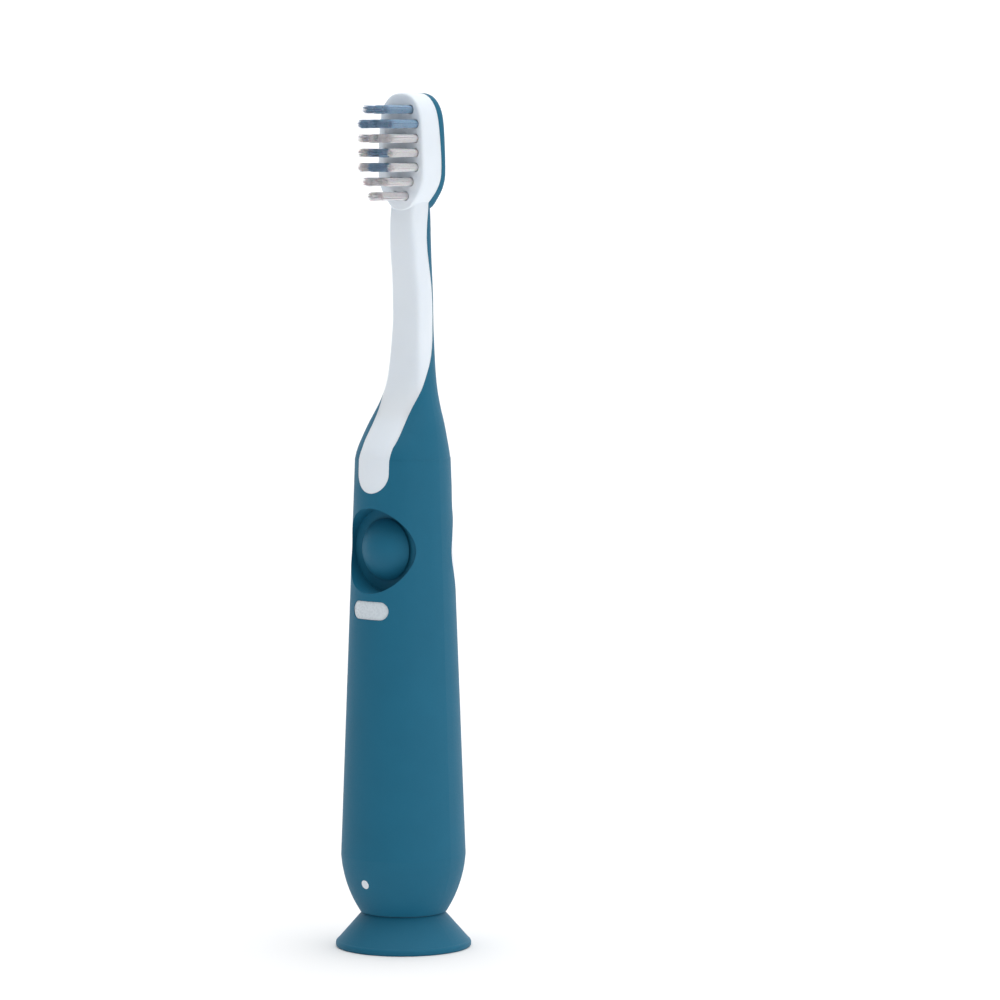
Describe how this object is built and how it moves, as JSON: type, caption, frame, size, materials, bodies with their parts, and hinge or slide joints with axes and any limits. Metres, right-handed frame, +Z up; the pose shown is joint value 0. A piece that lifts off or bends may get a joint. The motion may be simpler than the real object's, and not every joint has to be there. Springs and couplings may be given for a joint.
{
  "type": "electric toothbrush",
  "caption": "Child's vibrating toothbrush with a soft-grip handle, domed button and finger recess, standing on a lift-off suction foot.",
  "frame": {"origin": "centre of the foot's underside, on the surface that it stands on", "axes": "+Z up along the handle, -Y the front with the bristles and the button, +X to the right seen from the front"},
  "size_m": [0.0274, 0.0274, 0.1721],
  "materials": {
    "pale_body": "satin moulded polypropylene",
    "soft_blue": "matt soft-touch thermoplastic elastomer",
    "blue_plastic": "satin moulded ABS",
    "frosted_lens": "frosted polycarbonate",
    "grey_plastic": "moulded ABS",
    "black_plastic": "moulded epoxy or nylon",
    "board_green": "solder mask",
    "ceramic_tan": "fired ceramic",
    "lamp_clear": "clear epoxy",
    "nickel": "nickel plated spring strip",
    "motor_steel": "drawn steel",
    "weight_tungsten": "sintered tungsten alloy",
    "lead_red": "PVC insulation",
    "lead_black": "PVC insulation",
    "seal_rubber": "nitrile O-ring",
    "cell_jacket": "printed film jacket, plain",
    "nylon_pale": "nylon bristle",
    "nylon_blue": "dyed nylon bristle"
  },
  "bodies": {
    "foot": {"suction_cup": "soft_blue", "battery_cap": "blue_plastic", "cap_seal": "seal_rubber", "negative_spring": "nickel", "battery_cell": "cell_jacket", "battery_terminal": "nickel"},
    "brush": {"body_core": "pale_body", "finger_liner": "pale_body", "overmould_skin": "soft_blue", "recess_pad": "soft_blue", "light_window": "frosted_lens", "tact_switch": "nickel", "circuit_board": "board_green", "controller_chip": "black_plastic", "board_capacitor": "ceramic_tan", "indicator_led": "lamp_clear", "chassis_tube": "grey_plastic", "positive_contact": "nickel", "negative_strip": "nickel", "motor_can": "motor_steel", "motor_end_cap": "grey_plastic", "motor_lead_positive": "lead_red", "motor_lead_negative": "lead_black", "tufts_blue_front": "nylon_blue", "tufts_blue_inner": "nylon_blue", "tufts_pale": "nylon_pale", "tuft_anchors": "nickel"},
    "button": {"power_button": "soft_blue", "button_plunger": "pale_body", "switch_plunger": "black_plastic"},
    "rotor": {"motor_shaft": "motor_steel", "eccentric_weight": "weight_tungsten"}
  },
  "joints": [
    {"name": "brush_lift", "type": "slide", "parent": "foot", "child": "brush", "axis": [0, 0, 1], "range_m": [0, 0.07]},
    {"name": "button_press", "type": "slide", "parent": "brush", "child": "button", "axis": [0, 1, 0], "range_m": [0, 0.0005], "stiffness_N_per_m": 800},
    {"name": "motor_spin", "type": "hinge", "parent": "brush", "child": "rotor", "pos_m": [0, 0.0022, 0.067], "axis": [0, 0, 1], "continuous": true}
  ]
}
